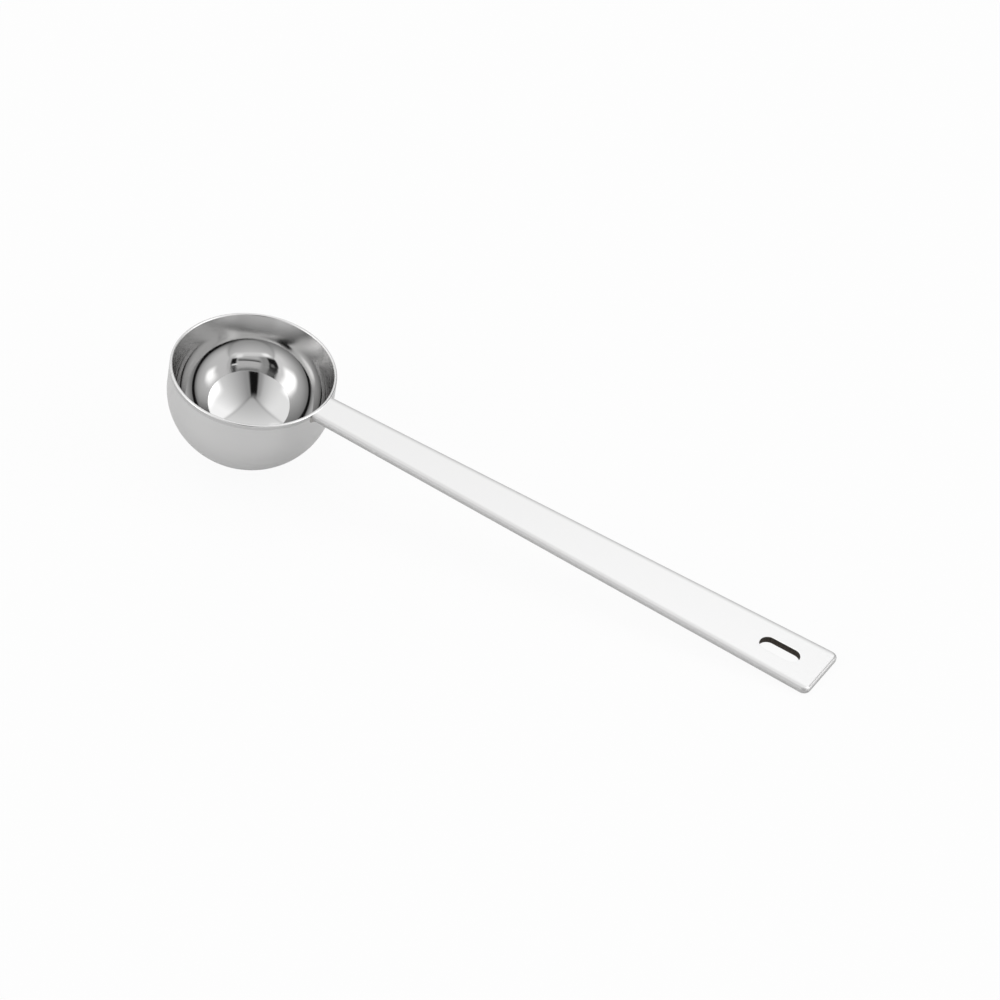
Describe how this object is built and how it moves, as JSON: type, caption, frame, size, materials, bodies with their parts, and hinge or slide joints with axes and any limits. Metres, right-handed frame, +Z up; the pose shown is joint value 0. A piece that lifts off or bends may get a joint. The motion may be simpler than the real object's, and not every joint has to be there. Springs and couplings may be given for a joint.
{
  "type": "measuring spoon",
  "caption": "Long-handled steel measuring spoon: a deep round bowl welded to a flat tapered handle with a hang slot.",
  "frame": {"origin": "on the table under the middle of the spoon's bounding box, with the spoon lying at rest on the bowl's round bottom and the handle's far end", "axes": "+X along the handle, from the bowl towards the hang slot, +Y across it, +Z up from the table; the bowl's axis leans 8.53 degrees from +Z towards +X"},
  "size_m": [0.1984, 0.045, 0.0316],
  "materials": {
    "bowl_steel": "mirror polished inside, satin polished outside",
    "handle_steel": "satin polished",
    "weld_steel": "dressed and polished weld"
  },
  "bodies": {
    "root": {"bowl": "bowl_steel", "handle": "handle_steel", "weld_bead": "weld_steel"}
  },
  "joints": []
}
